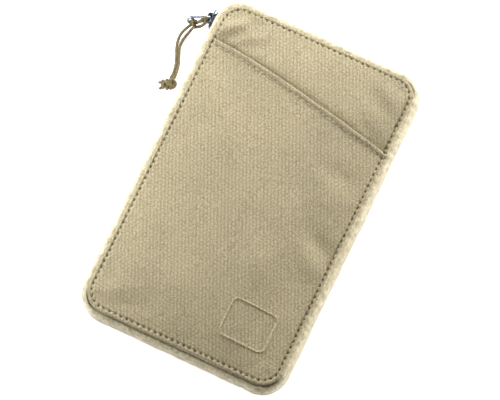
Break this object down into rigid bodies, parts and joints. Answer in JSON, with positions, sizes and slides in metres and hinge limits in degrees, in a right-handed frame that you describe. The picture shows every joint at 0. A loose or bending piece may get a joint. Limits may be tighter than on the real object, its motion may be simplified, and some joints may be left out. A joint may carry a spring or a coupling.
{
  "type": "zip-around travel document wallet",
  "caption": "Flat rounded fabric wallet that zips round three sides and opens like a book, with a slanted slip pocket, inner document sleeves and a knotted cord on the zip puller.",
  "frame": {"origin": "centre of the back cover's flat resting face", "axes": "+X from the spine towards the opening side, +Y towards the end where the closed slider is parked, +Z towards the front cover"},
  "size_m": [0.1551, 0.22, 0.0205],
  "materials": {
    "shell_fabric": "matte heavy basket weave",
    "lining_fabric": "matte fine plain weave",
    "foam": "matte closed-cell foam",
    "binding": "matte ribbed grosgrain",
    "zip_tape": "soft brushed woven tape",
    "zip_coil": "satin nylon",
    "gunmetal": "polished gunmetal plating",
    "pull_cord": "braided polyester cord"
  },
  "bodies": {
    "back_cover": {"back_panel": "shell_fabric", "back_foam": "foam", "back_lining": "lining_fabric", "back_edge_binding": "binding", "back_zip_tape": "zip_tape", "back_zip_coil": "zip_coil", "ticket_sleeve": "lining_fabric", "passport_sleeve": "lining_fabric"},
    "spine": {"spine_panel": "shell_fabric", "spine_lining": "lining_fabric", "zip_end_tape": "zip_tape", "zip_end_coil": "zip_coil", "zip_stop": "gunmetal"},
    "front_cover": {"front_panel": "shell_fabric", "slip_pocket": "shell_fabric", "slip_pocket_hem": "shell_fabric", "front_foam": "foam", "front_lining": "lining_fabric", "front_edge_binding": "binding", "front_zip_tape": "zip_tape", "front_zip_coil": "zip_coil", "document_sleeve": "lining_fabric", "card_slot_1": "lining_fabric", "card_slot_2": "lining_fabric", "card_slot_3": "lining_fabric"},
    "slider": {"slider_body": "gunmetal", "slider_bridge": "gunmetal"},
    "puller": {"puller": "gunmetal", "cord_hitch": "pull_cord", "pull_cord_left": "pull_cord", "pull_cord_right": "pull_cord", "cord_knot": "pull_cord"}
  },
  "joints": [
    {"name": "spine_fold", "type": "hinge", "parent": "back_cover", "child": "spine", "pos_m": [-0.068, 0, 0.001], "axis": [0, -1, 0], "range_deg": [0, 90]},
    {"name": "cover_open", "type": "hinge", "parent": "spine", "child": "front_cover", "pos_m": [-0.068, 0, 0.019], "axis": [0, -1, 0], "range_deg": [0, 90]},
    {"name": "slider_travel", "type": "slide", "parent": "spine", "child": "slider", "axis": [0, -1, 0], "range_m": [0, 0.0044]},
    {"name": "puller_swing", "type": "hinge", "parent": "slider", "child": "puller", "pos_m": [-0.0718, 0.0922, 0.01], "axis": [0, 0, -1], "range_deg": [0, 100]}
  ],
  "couplings": [
    {"joint": "cover_open", "follows": "spine_fold", "ratio": 1}
  ]
}
